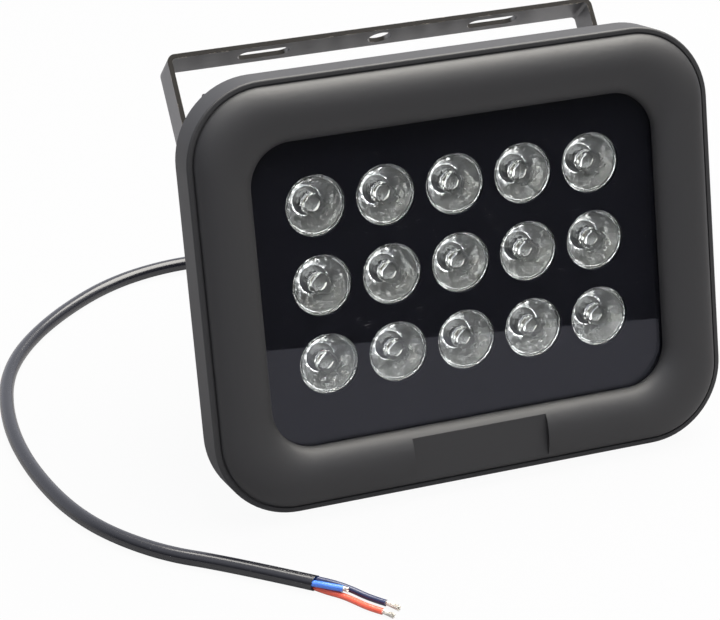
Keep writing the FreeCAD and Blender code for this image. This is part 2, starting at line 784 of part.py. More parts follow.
def make_driver():
    """Model the driver board, its coil, capacitor and screws."""
    under = cavity_floor + driver_standoff
    top = under + board_thickness
    board = new_body("driver_board")

    def draw_board(sketch):
        low = driver_rise - driver_height / 2
        high = driver_rise + driver_height / 2
        half = driver_width / 2
        draw_outline(sketch, [(-half, low), (half, low), (half, high), (-half, high)])

    add_slab(board, "sheet", under, top, draw_board)
    cut_slab(board, "holes", under, top, circles(driver_screw_places(), small_hole))
    make_screws("driver_screws", driver_screw_places(), top, False, SMALL_SCREW)

    coil = subtracted("driver_coil", cylinder("driver_coil_winding", coil_diameter, coil_height),
                      cylinder("driver_coil_hole", coil_core, coil_height))
    coil.Label = "driver_coil"
    sub_parts.append(coil)
    capacitor = cylinder("driver_capacitor", capacitor_diameter, capacitor_height)
    capacitor.Label = "driver_capacitor"
    sub_parts.append(capacitor)
    across = (driver_width / 2 - driver_part_inset).number
    rise = driver_rise.number
    lead = cylinder("led_leads_1", lead_diameter, board_back - top)
    other = cylinder("led_leads_2", lead_diameter, board_back - top)
    lead.Placement = Placement(Vector(-lead_diameter.number, rise, top.number), Rotation())
    other.Placement = Placement(Vector(lead_diameter.number, rise, top.number), Rotation())
    group("led_leads", [lead, other])
    return {coil: Placement(Vector(-across, rise, top.number), Rotation()),
            capacitor: Placement(Vector(across, rise, top.number), Rotation())}


def draw_hexagon(flats):
    """Draw a hexagon about the gland's axis."""
    def draw(sketch):
        reach = flats / math.sqrt(3)
        turns = [i * math.pi / 3 for i in range(6)]
        draw_outline(sketch, [(reach * math.cos(a), reach * math.sin(a) - gland_drop) for a in turns])
    return draw


def make_gland():
    """Model the cable gland: washer, body, seal and nut."""
    place = [(Size.of(0), -gland_drop)]
    ring_back = gland_seat - ring_thickness
    hex_back = ring_back - gland_hex_height
    neck_end = hex_back - gland_neck_length
    nut_front = hex_back - gland_nut_gap
    nut_back = nut_front - gland_nut_length
    hex_end = nut_front - gland_nut_hex
    seal_front = neck_end + gland_seal_length

    washer = new_body("gland_washer")
    add_slab(washer, "ring", ring_back, gland_seat, circles(place, ring_diameter))
    cut_slab(washer, "hole", ring_back, gland_seat, circles(place, gland_thread + 2 * thread_gap))

    gland = new_body("gland_body")
    add_slab(gland, "hexagon", hex_back, ring_back, draw_hexagon(gland_flats))
    add_slab(gland, "stub", ring_back, ring_back + gland_thread_length, circles(place, gland_thread))
    add_slab(gland, "neck", neck_end, hex_back, circles(place, gland_neck))
    cut_slab(gland, "bore", neck_end, ring_back + gland_thread_length, circles(place, gland_bore))
    cut_slab(gland, "seal_pocket", neck_end, seal_front, circles(place, gland_seal_diameter))

    seal = new_body("gland_seal")
    add_slab(seal, "sleeve", neck_end, seal_front, circles(place, gland_seal_diameter))
    cut_slab(seal, "bore", neck_end, seal_front, circles(place, cable_diameter + 2 * thread_gap))

    nut = new_body("gland_nut")
    add_slab(nut, "hexagon", hex_end, nut_front, draw_hexagon(gland_flats))
    add_slab_down(nut, "dome", hex_end, nut_back, circles(place, gland_dome), gland_dome_draft)
    cut_slab(nut, "thread", neck_end - thread_gap, nut_front, circles(place, gland_neck + 2 * thread_gap))
    cut_slab(nut, "mouth", nut_back, neck_end, circles(place, gland_nut_mouth))
    return nut_back


def make_bracket():
    """Model the bracket in its own frame: pivot axis on X, legs up Y, strap width along Z."""
    body = new_body("bracket")
    sketch = new_sketch(body, "XY_Plane", "strap")
    out = bracket_width / 2
    inner = leg_inner
    end = -strap_width / 2
    under = bracket_reach - strap_thickness
    draw_outline(sketch, [(-out, end), (-inner, end), (-inner, under), (inner, under),
                          (inner, end), (out, end), (out, bracket_reach), (-out, bracket_reach)])
    strap = body.newObject("PartDesign::Pad", "bracket_strap_pad")
    strap.Profile = sketch
    strap.Midplane = True
    bind(strap, "Length", strap_width)
    reach = bracket_reach.number
    thickness = strap_thickness.number
    bottom = -strap_width.number / 2

    def along_z_at(level):
        def wanted(edge):
            box = edge.BoundBox
            flat = box.YLength < TOLERANCE and box.XLength < TOLERANCE
            return flat and abs(box.YMin - level) < TOLERANCE
        return wanted

    round_edges(body, "outer_bends", strap_bend + strap_thickness, along_z_at(reach))
    round_edges(body, "inner_bends", strap_bend, along_z_at(reach - thickness))

    def across_leg_end(edge):
        box = edge.BoundBox
        across = box.ZLength < TOLERANCE and box.XLength > TOLERANCE
        return across and abs(box.YMax - bottom) < TOLERANCE

    round_edges(body, "leg_ends", strap_width * LEG_END_SHARE, across_leg_end)

    def draw_crossbar_holes(sketch):
        run = (slot_length - slot_width) / 2
        draw_circle(sketch, 0, 0, crossbar_hole)
        for side in (-1, 1):
            middle = slot_offset * side
            half = slot_width / 2
            draw_slot(sketch, middle, run, half)

    holes = new_sketch(body, "XZ_Plane", "crossbar_holes", -bracket_reach)
    draw_crossbar_holes(holes)
    pocket = body.newObject("PartDesign::Pocket", "bracket_crossbar_pocket")
    pocket.Profile = holes
    pocket.Reversed = True
    bind(pocket, "Length", strap_thickness)
    eyes = new_sketch(body, "YZ_Plane", "pivot_holes")
    draw_circle(eyes, 0, 0, pivot_bolt + 2 * running_gap)
    pocket = body.newObject("PartDesign::Pocket", "bracket_pivot_pocket")
    pocket.Profile = eyes
    pocket.Midplane = True
    bind(pocket, "Length", bracket_width)
    swing = Rotation(X_AXIS, -bracket_swing.number)
    return body, Placement(Vector(0, 0, -pivot_depth.number), swing)


def draw_slot(sketch, middle, run, half):
    """Draw a slot along the sketch's horizontal axis: two lines and two half circles."""
    cx = middle.number
    straight = run.number
    r = half.number
    right = sketch.addGeometry(Part.ArcOfCircle(
        Part.Circle(Vector(cx + straight, 0, 0), Z_AXIS, r), -math.pi / 2, math.pi / 2))
    left = sketch.addGeometry(Part.ArcOfCircle(
        Part.Circle(Vector(cx - straight, 0, 0), Z_AXIS, r), math.pi / 2, 3 * math.pi / 2))
    top = sketch.addGeometry(Part.LineSegment(Vector(cx + straight, r, 0), Vector(cx - straight, r, 0)))
    bottom = sketch.addGeometry(Part.LineSegment(Vector(cx - straight, -r, 0), Vector(cx + straight, -r, 0)))
    constrain(sketch, "Tangent", right, 2, top, 1)
    constrain(sketch, "Tangent", top, 2, left, 1)
    constrain(sketch, "Tangent", left, 2, bottom, 1)
    constrain(sketch, "Tangent", bottom, 2, right, 1)
    constrain(sketch, "Equal", right, left)
    constrain(sketch, "Radius", right, half)
    place_point(sketch, right, 3, middle + run, Size.of(0))
    place_point(sketch, left, 3, middle - run, Size.of(0))


def make_washer(name, diameter, thickness, hole):
    """Model a flat washer on Z = 0."""
    disc = cylinder(f"{name}_disc", diameter, thickness)
    return subtracted(name, disc, cylinder(f"{name}_hole", hole, thickness))


def make_pivots():
    """Model the pivot bolts with their flat and split washers."""
    out = bracket_width.number / 2
    flat = washer_thickness.number
    split = spring_thickness.number
    bolts = []
    washers = []
    springs = []
    hole = pivot_bolt + 2 * running_gap
    for side, word in ((-1, "left"), (1, "right")):
        outward = Rotation(Y_AXIS, 90 * side)

        def seated(thing, off_leg):
            thing.Placement = Placement(Vector(side * (out + off_leg), 0, -pivot_depth.number), outward)
            return thing

        bolt = make_screw(f"pivot_bolts_{word}", *PIVOT_SCREW)
        bolts.append(seated(bolt, flat + split))
        washer = make_washer(f"pivot_washers_{word}", washer_diameter, washer_thickness, hole)
        washers.append(seated(washer, 0))
        whole = make_washer(f"spring_washers_whole_{word}", spring_diameter, spring_thickness, hole)
        gap = doc.addObject("Part::Box", f"spring_washers_gap_{word}")
        bind(gap, "Length", spring_diameter)
        bind(gap, "Width", spring_split)
        bind(gap, "Height", spring_thickness)
        spring = subtracted(f"spring_washers_{word}", whole, gap)
        springs.append(seated(spring, flat))
    group("pivot_bolts", bolts)
    group("pivot_washers", washers)
    group("spring_washers", springs)


def lean_of_lamp():
    """Work out how far the lamp leans back when its skirt and fins rest on the ground."""
    edge = back_edge_fillet.number
    corner = fin_corner.number
    skirt = Vector(0, edge - bezel_height.number / 2, edge - skirt_depth.number)
    fin = Vector(0, corner - fin_span.number / 2, corner + fin_tip.number)
    run = skirt.z - fin.z
    rise = fin.y - skirt.y
    lean = math.atan2(rise, run) - math.asin((corner - edge) / math.hypot(run, rise))
    height = edge - (skirt.y * math.cos(lean) + skirt.z * math.sin(lean))
    return math.degrees(lean), height


def tube(points, diameter):
    """Sweep a round section along straight runs joined by tangent arcs."""
    edges = []
    radii = []
    last = points[0]
    for before, here, after in zip(points, points[1:], points[2:]):
        into = here - before
        out_of = after - here
        turn = into.getAngle(out_of)
        reach = BEND_SHARE * min(into.Length, out_of.Length)
        radius = reach / math.tan(turn / 2)
        into.normalize()
        out_of.normalize()
        first = here - into * reach
        final = here + out_of * reach
        inward = (out_of - into).normalize()
        middle = here + inward * (radius / math.cos(turn / 2) - radius)
        edges.append(Part.LineSegment(last, first).toShape())
        edges.append(Part.Arc(first, middle, final).toShape())
        radii.append(round(radius, 1))
        last = final
    edges.append(Part.LineSegment(last, points[-1]).toShape())
    path = Part.Wire(edges)
    section = Part.Wire(Part.Circle(points[0], points[1] - points[0], diameter / 2).toShape())
    solid = path.makePipeShell([section], True, True)
    error = solid.Volume / (math.pi * diameter ** 2 / 4 * path.Length) - 1
    print(f"tube length {path.Length:.1f}, volume off by {error:.5f}, radii {radii}")
    return solid


def add_tube(name, points, diameter):
    """Add a tube that lies on the ground as a sub-part."""
    feature = doc.addObject("Part::Feature", name)
    feature.Label = name
    feature.Shape = tube(points, diameter.number)
    return feature


def make_cable(lamp, gland_end):
    """Model the cable from inside the gland to its cut end, the three cores and their bare ends."""
    inside = Vector(0, -gland_drop.number, gland_end.number + cable_inside.number)
    outside = Vector(0, -gland_drop.number, gland_end.number - cable_straight.number)
    start = [lamp.multVec(inside), lamp.multVec(outside)]
    route = start + [Vector(*point) for point in CABLE_ROUTE]
    pieces = [add_tube("supply_cable", route, cable_diameter)]
    for colour, route in CORE_ROUTES.items():
        pieces.append(add_tube(f"core_{colour}", [Vector(*point) for point in route], core_diameter))
    for colour, route in TIP_ROUTES.items():
        pieces.append(add_tube(f"tip_{colour}", [Vector(*point) for point in route], strand_diameter))
    return pieces


# Route of the cable on the ground, after its straight start in the gland, chosen point by point
CABLE_ROUTE = [(-7, 97, 9), (-34, 129, 4), (-73, 128, 2.55), (-107, 104, 2.55), (-130, 74, 2.55),
               (-138.5, 38, 2.55), (-138, 2, 2.55), (-130, -32, 2.55), (-113, -57, 2.55),
               (-93, -71.5, 2.55), (-73, -89, 2.55)]

# Routes of the three cores from the end of the jacket, and of their bare ends
CORE_ROUTES = {
    "black": [(-72.2, -88.5, 3.35), (-66.9, -92.7, 3.35), (-61.6, -97.2, 2.3), (-57.6, -101.8, 1.2),
              (-53.5, -106.2, 1.1)],
    "red": [(-72.6, -89.1, 1.3), (-69.1, -93.6, 1.1), (-64.8, -97.8, 1.1), (-61.7, -102.6, 1.1),
            (-59.2, -106.7, 1.1), (-56.1, -110.0, 1.1)],
    "blue": [(-73.6, -90.05, 3.0), (-70.4, -92.9, 3.4), (-67.3, -95.4, 3.4), (-64.4, -97.4, 3.3)],
}
TIP_ROUTES = {
    "black": [(-53.42, -106.3, 1.1), (-50.5, -110.0, 1.0)],
    "red": [(-56.02, -110.1, 1.1), (-53.5, -113.2, 1.0)],
    "blue": [(-64.33, -97.45, 3.3), (-63.0, -98.3, 3.25)],
}

own_places = {}
make_front_bezel()
make_window_pieces()
for number, (across, up) in enumerate(lens_places(), 1):
    lens, place = make_lens(number, across, up)
    own_places[lens] = place
    emitter, place = make_emitter(number, across, up)
    own_places[emitter] = place
make_board()
make_seal()
make_rear_housing()
own_places.update(make_driver())
make_screws("bezel_screws", bezel_screw_places(), flange_back, True, BEZEL_SCREW)
gland_end = make_gland()
bracket, place = make_bracket()
own_places[bracket] = place
make_pivots()
doc.recompute()

lean, height = lean_of_lamp()
upright = Rotation(X_AXIS, 90 - lean)
for piece in sub_parts:
    piece.Placement = Placement(Vector(0, 0, height), upright) * own_places.get(piece, Placement())
doc.recompute()

front = min(piece.Shape.optimalBoundingBox(False).YMin for piece in sub_parts)
back = max(piece.Shape.optimalBoundingBox(False).YMax for piece in sub_parts)
lamp = Placement(Vector(0, -(front + back) / 2, height), upright)
for piece in sub_parts:
    piece.Placement = lamp * own_places.get(piece, Placement())
sub_parts.extend(make_cable(lamp, gland_end))
doc.recompute()

failed = [thing.Label for thing in doc.Objects if "Invalid" in thing.State or "Error" in thing.State]
for piece in sub_parts:
    if piece.Shape.isNull() or not piece.Shape.isValid():
        failed.append(piece.Label)
if failed:
    raise RuntimeError("failed: " + ", ".join(failed))

os.makedirs("parts", exist_ok=True)
for piece in sub_parts:
    piece.Shape.exportStep(f"parts/{piece.Label}.step")

pivot = lamp.multVec(Vector(0, 0, -pivot_depth.number))
print(f"lean {lean:.3f}, height {height:.4f}, shift {-(front + back) / 2:.4f}")
print("pivot", [round(c, 4) for c in pivot])
print("cable exit", [round(c, 3) for c in lamp.multVec(Vector(0, -gland_drop.number, gland_end.number))])
print("cable direction", [round(c, 4) for c in lamp.Rotation.multVec(-Z_AXIS)])
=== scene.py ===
import bmesh
import bpy
import math
from mathutils import Matrix, Vector


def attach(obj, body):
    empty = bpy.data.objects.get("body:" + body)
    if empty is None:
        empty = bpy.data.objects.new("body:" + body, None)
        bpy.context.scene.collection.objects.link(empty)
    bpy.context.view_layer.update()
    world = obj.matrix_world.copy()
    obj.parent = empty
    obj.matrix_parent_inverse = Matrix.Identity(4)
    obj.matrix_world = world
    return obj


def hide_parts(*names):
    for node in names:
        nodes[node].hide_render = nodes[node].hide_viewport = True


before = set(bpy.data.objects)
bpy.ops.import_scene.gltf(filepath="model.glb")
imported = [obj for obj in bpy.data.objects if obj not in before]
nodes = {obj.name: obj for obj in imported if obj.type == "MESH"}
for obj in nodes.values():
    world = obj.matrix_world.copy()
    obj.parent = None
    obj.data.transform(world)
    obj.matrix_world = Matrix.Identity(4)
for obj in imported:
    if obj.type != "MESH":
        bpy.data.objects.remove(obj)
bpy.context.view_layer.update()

# Camera
# It stands where the photograph was taken, in front of the lamp, a little to its left and above it.
CAMERA_PLACE = (-0.284708, -0.721622, 0.456754)
CAMERA_ELEVATION = math.radians(28.29)
CAMERA_AZIMUTH = math.radians(19.89)
CAMERA_LENS = 129.87
SENSOR_WIDTH = 36

camera = bpy.data.objects.new("camera", bpy.data.cameras.new("camera"))
camera.data.sensor_fit = "HORIZONTAL"
camera.data.sensor_width = SENSOR_WIDTH
camera.data.lens = CAMERA_LENS
camera.location = CAMERA_PLACE
camera.rotation_euler = (math.pi / 2 - CAMERA_ELEVATION, 0, -CAMERA_AZIMUTH)
bpy.context.scene.collection.objects.link(camera)
bpy.context.scene.camera = camera
bpy.context.scene.view_settings.view_transform = "Standard"


# Floor and light
# A white table with its edge to the front right, which the window mirrors, a white wall behind, a wide
# soft lamp overhead and a dark room in front. The room is lit by direction, from low in front to full behind
# and above. Glossy paint and the lenses see it brighter, as they would in a real light tent.
ROOM_COLOUR = "#F2F4FF"
ROOM_LIGHT = (0.03, 0.5)
LIT_BEHIND = (-0.15, 0.45)
LIT_ABOVE = (0.12, 0.75)
TABLE_EDGE = ((0.200, -2.000), (0.952, 2.000))
TABLE_LEFT = -2.5
TABLE_COLOUR = "#9A9A9E"
TABLE_MIRRORED = "#A4A4B0"
TABLE_GLOW = 0.95
TABLE_GLOW_IN_GLOSS = 0.14
WALL_GLOW_IN_GLOSS = 1.0
LIT_THROUGH_LENS = (1.2, 7.0)
FACES_CROSSED = 4.5
OVERHEAD_SIZE = 1.1
OVERHEAD_PLACE = (0.30, 0.09, 1.00)
OVERHEAD_POWER = 33.0
OVERHEAD_COLOUR = "#FFFBF2"
FRONT_SIZE = 1.2
FRONT_PLACE = (-0.45, -1.00, 1.20)
FRONT_POWER = 3.0
FRONT_COLOUR = "#F4F6FF"


def colour(code):
    """Turn an sRGB hex value to a linear colour."""
    channels = [int(code[i:i + 2], 16) / 255 for i in (1, 3, 5)]
    return [c / 12.92 if c <= 0.04045 else ((c + 0.055) / 1.055) ** 2.4 for c in channels] + [1.0]


def add(tree, kind, inputs=None, **settings):
    """Add a node. Each input gets a value, or a link where it is given another node's socket."""
    node = tree.nodes.new(kind)
    for name, value in settings.items():
        setattr(node, name, value)
    for name, value in (inputs or {}).items():
        if isinstance(value, bpy.types.NodeSocket):
            tree.links.new(value, node.inputs[name])
        else:
            node.inputs[name].default_value = value
    return node


def new_material(name):
    """Start a material with an empty node tree."""
    material = bpy.data.materials.new(name)
    material.use_nodes = True
    material.node_tree.nodes.clear()
    return material, material.node_tree


def blurred_rays(tree, path):
    """Give 1 for rays that a rough surface mirrors, and 0 for those that a clear pane does."""
    rays = add(tree, "ShaderNodeMath", {0: path.outputs["Is Glossy Ray"], 1: path.outputs["Is Singular Ray"]},
               operation="SUBTRACT", use_clamp=True)
    return rays.outputs[0]


def scale_for(size):
    """Give the scale of a pattern whose cells are this many millimetres wide."""
    return 1000 / size


def solid(name, bm):
    """Turn a bmesh to an object in the scene."""
    mesh = bpy.data.meshes.new(name)
    bm.to_mesh(mesh)
    bm.free()
    thing = bpy.data.objects.new(name, mesh)
    bpy.context.scene.collection.objects.link(thing)
    return thing


world = bpy.data.worlds.new("studio")
bpy.context.scene.world = world
world.use_nodes = True
tree = world.node_tree
tree.nodes.clear()
direction = add(tree, "ShaderNodeTexCoord").outputs["Generated"]
parts = add(tree, "ShaderNodeSeparateXYZ", {"Vector": direction})
behind = add(tree, "ShaderNodeMapRange", {"Value": parts.outputs["Y"], "From Min": LIT_BEHIND[0],
                                          "From Max": LIT_BEHIND[1]})
above = add(tree, "ShaderNodeMapRange", {"Value": parts.outputs["Z"], "From Min": LIT_ABOVE[0],
                                         "From Max": LIT_ABOVE[1]})
lit = add(tree, "ShaderNodeMath", {0: behind.outputs[0], 1: above.outputs[0]}, operation="MAXIMUM")
strength = add(tree, "ShaderNodeMapRange", {"Value": lit.outputs[0], "To Min": ROOM_LIGHT[0],
                                            "To Max": ROOM_LIGHT[1]})
path = add(tree, "ShaderNodeLightPath")
sheen = add(tree, "ShaderNodeMath", {0: blurred_rays(tree, path), 1: WALL_GLOW_IN_GLOSS, 2: 1.0},
            operation="MULTIPLY_ADD")
strength = add(tree, "ShaderNodeMath", {0: strength.outputs[0], 1: sheen.outputs[0]}, operation="MULTIPLY")
room = add(tree, "ShaderNodeBackground", {"Color": colour(ROOM_COLOUR), "Strength": strength.outputs[0]})
crossed = add(tree, "ShaderNodeMath", {0: path.outputs["Transmission Depth"], 1: FACES_CROSSED},
              operation="GREATER_THAN")
bright = add(tree, "ShaderNodeMapRange", {"Value": lit.outputs[0], "To Min": LIT_THROUGH_LENS[0],
                                          "To Max": LIT_THROUGH_LENS[1]})
through = add(tree, "ShaderNodeMath", {0: crossed.outputs[0], 1: bright.outputs[0]}, operation="MULTIPLY")
shown = add(tree, "ShaderNodeMath", {0: path.outputs["Is Camera Ray"], 1: through.outputs[0]},
            operation="MAXIMUM")
white = add(tree, "ShaderNodeBackground", {"Color": colour("#FFFFFF"), "Strength": shown.outputs[0]})
seen = add(tree, "ShaderNodeMath", {0: path.outputs["Is Camera Ray"], 1: crossed.outputs[0]},
           operation="MAXIMUM")
both = add(tree, "ShaderNodeMixShader", {0: seen.outputs[0], 1: room.outputs[0], 2: white.outputs[0]})
add(tree, "ShaderNodeOutputWorld", {"Surface": both.outputs[0]})

bm = bmesh.new()
(near_x, near_y), (far_x, far_y) = TABLE_EDGE
bm.faces.new([bm.verts.new(p) for p in ((near_x, near_y, 0), (far_x, far_y, 0), (TABLE_LEFT, far_y, 0),
                                        (TABLE_LEFT, near_y, 0))])
table = solid("table", bm)
material, tree = new_material("white_laminate")
path = add(tree, "ShaderNodeLightPath")
matt = add(tree, "ShaderNodeBsdfDiffuse", {"Color": colour(TABLE_COLOUR)})
tone = add(tree, "ShaderNodeMixRGB", {0: path.outputs["Is Singular Ray"], 1: colour("#FFFFFF"),
                                      2: colour(TABLE_MIRRORED)})
glow = add(tree, "ShaderNodeEmission", {"Color": tone.outputs[0], "Strength": 1.0})
sheen = add(tree, "ShaderNodeMath", {0: blurred_rays(tree, path), 1: TABLE_GLOW_IN_GLOSS},
            operation="MULTIPLY")
shine = add(tree, "ShaderNodeMath", {0: sheen.outputs[0], 1: path.outputs["Is Singular Ray"]},
            operation="MAXIMUM")
share = add(tree, "ShaderNodeMath", {0: path.outputs["Is Camera Ray"], 1: TABLE_GLOW, 2: shine.outputs[0]},
            operation="MULTIPLY_ADD")
both = add(tree, "ShaderNodeMixShader", {0: share.outputs[0], 1: matt.outputs[0], 2: glow.outputs[0]})
add(tree, "ShaderNodeOutputMaterial", {"Surface": both.outputs[0]})
table.data.materials.append(material)

for name, place, size, power, tint in (
        ("overhead", OVERHEAD_PLACE, OVERHEAD_SIZE, OVERHEAD_POWER, OVERHEAD_COLOUR),
        ("front", FRONT_PLACE, FRONT_SIZE, FRONT_POWER, FRONT_COLOUR)):
    light = bpy.data.objects.new(name, bpy.data.lights.new(name, "AREA"))
    light.data.size = size
    light.data.energy = power
    light.data.color = colour(tint)[:3]
    light.location = place
    light.rotation_euler = Vector(place).to_track_quat("Z", "Y").to_euler()
    bpy.context.scene.collection.objects.link(light)


# Supply cable
# A round three-core lead with a smooth black PVC jacket, cut off nearly square in front of the lamp. It
# leaves the gland straight and lies on the table in one loose bend. The route is in millimetres.
LEAN = math.radians(14.029)
LAMP = Matrix.Translation((0, -0.0328555, 0.0712241)) @ Matrix.Rotation(math.pi / 2 - LEAN, 4, "X")
GLAND_DROP = 0.028
GLAND_END = -0.0821
CABLE_INSIDE = 0.020
CABLE_STRAIGHT = 0.020
CABLE_DIAMETER = 0.005
JACKET_WALL = 0.0006
JACKET_MOUTH = 0.0026
JACKET_OVERLAP = 0.0005
JACKET_SLANT = 0.0005
JACKET_RAGGED = 0.3
JACKET_NOTCHES = 1.7
CABLE_ROUTE = [(-7, 97, 9), (-34, 129, 4), (-73, 128, 2.55), (-107, 104, 2.55), (-130, 74, 2.55),
               (-138.5, 38, 2.55), (-138, 2, 2.55), (-130, -32, 2.55), (-113, -57, 2.55),
               (-93, -71.5, 2.55), (-73, -89, 2.55)]


def route_curve(name, routes, bevel):
    """Make a curve of smooth NURBS splines, one for each route's control points."""
    curve = bpy.data.curves.new(name, "CURVE")
    curve.dimensions = "3D"
    curve.resolution_u = 12
    curve.bevel_depth = bevel
    curve.bevel_resolution = 6
    curve.use_fill_caps = True
    for route in routes:
        spline = curve.splines.new("NURBS")
        spline.points.add(len(route) - 1)
        for place, point in zip(spline.points, route):
            place.co = (*point, 1)
        spline.order_u = 3
        spline.use_endpoint_u = True
    return bpy.data.objects.new(name, curve)


def line_of(route):
    """Read the smooth line that a NURBS route makes."""
    curve = route_curve("line", [route], 0.0)
    mesh = bpy.data.meshes.new_from_object(curve)
    line = [v.co.copy() for v in mesh.vertices]
    bpy.data.meshes.remove(mesh)
    bpy.data.objects.remove(curve)
    return line


def tubes(name, routes, radius):
    """Make a mesh of round tubes along smooth routes."""
    curve = route_curve(name, routes, radius)
    mesh = bpy.data.meshes.new_from_object(curve)
    bpy.data.objects.remove(curve)
    mesh.name = name
    mesh.shade_smooth()
    thing = bpy.data.objects.new(name, mesh)
    bpy.context.scene.collection.objects.link(thing)
    return thing


def millimetres(points):
    """Turn points given in millimetres to metres."""
    return [Vector(p) / 1000 for p in points]


cable_start = [LAMP @ Vector((0, -GLAND_DROP, GLAND_END + CABLE_INSIDE)),
               LAMP @ Vector((0, -GLAND_DROP, GLAND_END - CABLE_STRAIGHT))]
cable_points = cable_start + millimetres(CABLE_ROUTE)
cable_line = line_of(cable_points)
cable = tubes("cable_jacket", [cable_points], CABLE_DIAMETER / 2)
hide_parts("supply_cable")
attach(cable, "lamp")


def moulded_pvc(name, code, roughness):
    """Make a soft extruded plastic: drag marks and dust under a broad sheen, with a narrow wet line."""
    material, tree = new_material(name)
    place = add(tree, "ShaderNodeTexCoord").outputs["Object"]
    drag = add(tree, "ShaderNodeTexNoise", {"Vector": place, "Scale": scale_for(1.111), "Detail": 3.0})
    bump = add(tree, "ShaderNodeBump", {"Height": drag.outputs["Fac"], "Strength": 0.12, "Distance": 0.0001})
    cloud = add(tree, "ShaderNodeTexNoise", {"Vector": place, "Scale": scale_for(8.333), "Detail": 4.0})
    dull = add(tree, "ShaderNodeMapRange", {"Value": cloud.outputs["Fac"], "To Min": roughness - 0.05,
                                            "To Max": roughness + 0.07})
    dust = add(tree, "ShaderNodeTexVoronoi", {"Vector": place, "Scale": scale_for(2.857)})
    specks = add(tree, "ShaderNodeMapRange", {"Value": dust.outputs["Distance"], "From Min": 0.05,
                                              "From Max": 0.09, "To Min": 0.25, "To Max": 0.0})
    tone = add(tree, "ShaderNodeMixRGB", {0: specks.outputs[0], 1: colour(code), 2: colour("#8E8C88")})
    surface = add(tree, "ShaderNodeBsdfPrincipled", {"Base Color": tone.outputs[0],
                                                    "Roughness": dull.outputs[0],
                                                    "Coat Weight": 0.5, "Coat Roughness": 0.06,
                                                    "Normal": bump.outputs["Normal"]})
    add(tree, "ShaderNodeOutputMaterial", {"Surface": surface.outputs["BSDF"]})
    return material


black_pvc = moulded_pvc("black_pvc_jacket", "#14151C", 0.27)
cable.data.materials.append(black_pvc)

# The cut mouth of the jacket is a short open sleeve with a ragged slanting edge round the three cores.
cable_end = cable_line[-1]
cable_way = (cable_line[-1] - cable_line[-2]).normalized()
bm = bmesh.new()
rings = []
outside = CABLE_DIAMETER / 2
inside = outside - JACKET_WALL
for radius, reach in ((outside, -JACKET_OVERLAP), (outside, JACKET_MOUTH), (inside, JACKET_MOUTH),
                      (inside, -JACKET_OVERLAP)):
    circle = bmesh.ops.create_circle(bm, segments=48, radius=radius, matrix=Matrix.Translation((0, 0, reach)))
    ring = circle["verts"]
    if reach > 0:
        for index, vert in enumerate(ring):
            notch = JACKET_RAGGED * math.sin(index * JACKET_NOTCHES)
            vert.co.z += JACKET_SLANT * (vert.co.x / radius + notch)
    rings.append(ring)
for outer, inner in zip(rings, rings[1:]):
    for index in range(len(outer)):
        after = (index + 1) % len(outer)
        bm.faces.new((outer[index], outer[after], inner[after], inner[index]))
bmesh.ops.recalc_face_normals(bm, faces=bm.faces)
turned = Matrix.Translation(cable_end) @ cable_way.to_track_quat("Z", "Y").to_matrix().to_4x4()
bmesh.ops.transform(bm, matrix=turned, verts=bm.verts)
mouth = solid("jacket_mouth", bm)
mouth.data.materials.append(black_pvc)
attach(mouth, "lamp")

# Cores
# Three insulated cores come out of the jacket, each stripped at its end to a bundle of tinned strands, which
# catch the light as a pale twisted tip. The routes are in millimetres.
CORE_DIAMETER = 0.0021
CORE_ROUTES = {
    "black": [(-72.2, -88.5, 3.35), (-66.9, -92.7, 3.35), (-61.6, -97.2, 2.3), (-57.6, -101.8, 1.2),
              (-53.5, -106.2, 1.1)],
    "red": [(-72.6, -89.1, 1.3), (-69.1, -93.6, 1.1), (-64.8, -97.8, 1.1), (-61.7, -102.6, 1.1),
            (-59.2, -106.7, 1.1), (-56.1, -110.0, 1.1)],
    "blue": [(-73.6, -90.05, 3.0), (-70.4, -92.9, 3.4), (-67.3, -95.4, 3.4), (-64.4, -97.4, 3.3)],
}
TIP_ROUTES = {
    "black": [(-53.42, -106.3, 1.1), (-50.5, -110.0, 1.0)],
    "red": [(-56.02, -110.1, 1.1), (-53.5, -113.2, 1.0)],
    "blue": [(-64.33, -97.45, 3.3), (-63.0, -98.3, 3.25)],
}
# The black core's navy colour is a painted reflection of blue light.
CORE_COLOURS = {"black": "#1A2650", "red": "#FF6A50", "blue": "#5088F2"}
STRANDS = 16
STRAND_DIAMETER = 0.00032
BUNDLE_RADIUS = 0.00064
SPLAY = 1.35
STRAND_TWIST = 0.7
STRAND_STEP = 0.0003
STRAND_MIDDLE = 0.55
GOLDEN_ANGLE = math.radians(137.5)

tinned_copper, tree = new_material("tinned_copper")
place = add(tree, "ShaderNodeTexCoord").outputs["Object"]
cloud = add(tree, "ShaderNodeTexNoise", {"Vector": place, "Scale": scale_for(0.7143), "Detail": 3.0})
tone = add(tree, "ShaderNodeMixRGB", {0: cloud.outputs["Fac"], 1: colour("#F6F4EE"), 2: colour("#D2CCC0")})
surface = add(tree, "ShaderNodeBsdfPrincipled", {"Base Color": tone.outputs[0], "Metallic": 1.0,
                                                "Roughness": 0.32})
add(tree, "ShaderNodeOutputMaterial", {"Surface": surface.outputs["BSDF"]})

